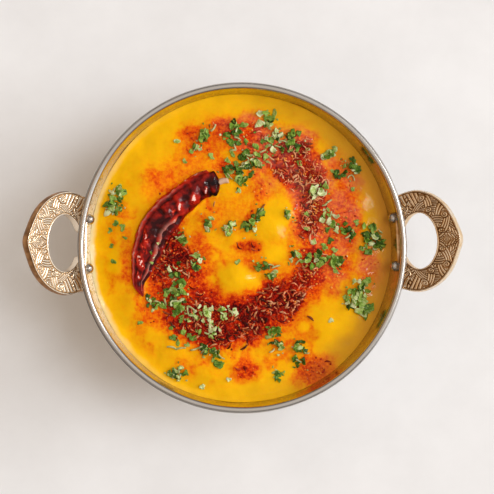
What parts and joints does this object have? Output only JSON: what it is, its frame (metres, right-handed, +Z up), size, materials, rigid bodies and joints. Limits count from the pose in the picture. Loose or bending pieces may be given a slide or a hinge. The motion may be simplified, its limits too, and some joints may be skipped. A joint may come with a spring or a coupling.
{
  "type": "bowl of dal",
  "caption": "Yellow dal with chilli oil, cumin, dried chilli and coriander, served in a round steel pan with looped brass handles.",
  "frame": {"origin": "on the floor under the middle of the bowl", "axes": "+X through the right-hand handle, +Y away from the viewer, +Z up out of the bowl"},
  "size_m": [0.2233, 0.168, 0.0721],
  "materials": {
    "bowl_steel": "polished stainless steel, spun, with fine turning lines",
    "handle_brass": "cast brass, engraved face with darkened recesses, plain polished sides",
    "rivet_steel": "domed steel rivet heads",
    "dal": "wet, glossy cooked lentils under red chilli oil with cumin seeds",
    "dried_chilli": "glossy oiled wrinkled dried chilli skin",
    "coriander": "fresh chopped coriander leaf, satin"
  },
  "bodies": {
    "root": {"bowl": "bowl_steel", "handle_left": "handle_brass", "handle_right": "handle_brass", "handle_left_rivet_a": "rivet_steel", "handle_left_rivet_b": "rivet_steel", "handle_right_rivet_a": "rivet_steel", "handle_right_rivet_b": "rivet_steel", "dal": "dal", "dried_chilli": "dried_chilli", "coriander_far_left": "coriander", "coriander_left_a": "coriander", "coriander_left_b": "coriander", "coriander_left_c": "coriander", "coriander_low_a": "coriander", "coriander_low_b": "coriander", "coriander_low_c": "coriander", "coriander_low_d": "coriander", "coriander_low_e": "coriander", "coriander_low_left_a": "coriander", "coriander_low_left_b": "coriander", "coriander_low_left_c": "coriander", "coriander_low_left_d": "coriander", "coriander_low_left_e": "coriander", "coriander_middle_a": "coriander", "coriander_middle_b": "coriander", "coriander_middle_c": "coriander", "coriander_middle_d": "coriander", "coriander_middle_e": "coriander", "coriander_middle_f": "coriander", "coriander_middle_g": "coriander", "coriander_right_a": "coriander", "coriander_right_b": "coriander", "coriander_right_c": "coriander", "coriander_right_d": "coriander", "coriander_right_e": "coriander", "coriander_top_a": "coriander", "coriander_top_b": "coriander", "coriander_top_c": "coriander", "coriander_top_d": "coriander", "coriander_top_e": "coriander", "coriander_top_f": "coriander", "coriander_top_left": "coriander", "coriander_top_right_a": "coriander", "coriander_top_right_b": "coriander", "coriander_top_right_c": "coriander"}
  },
  "joints": []
}
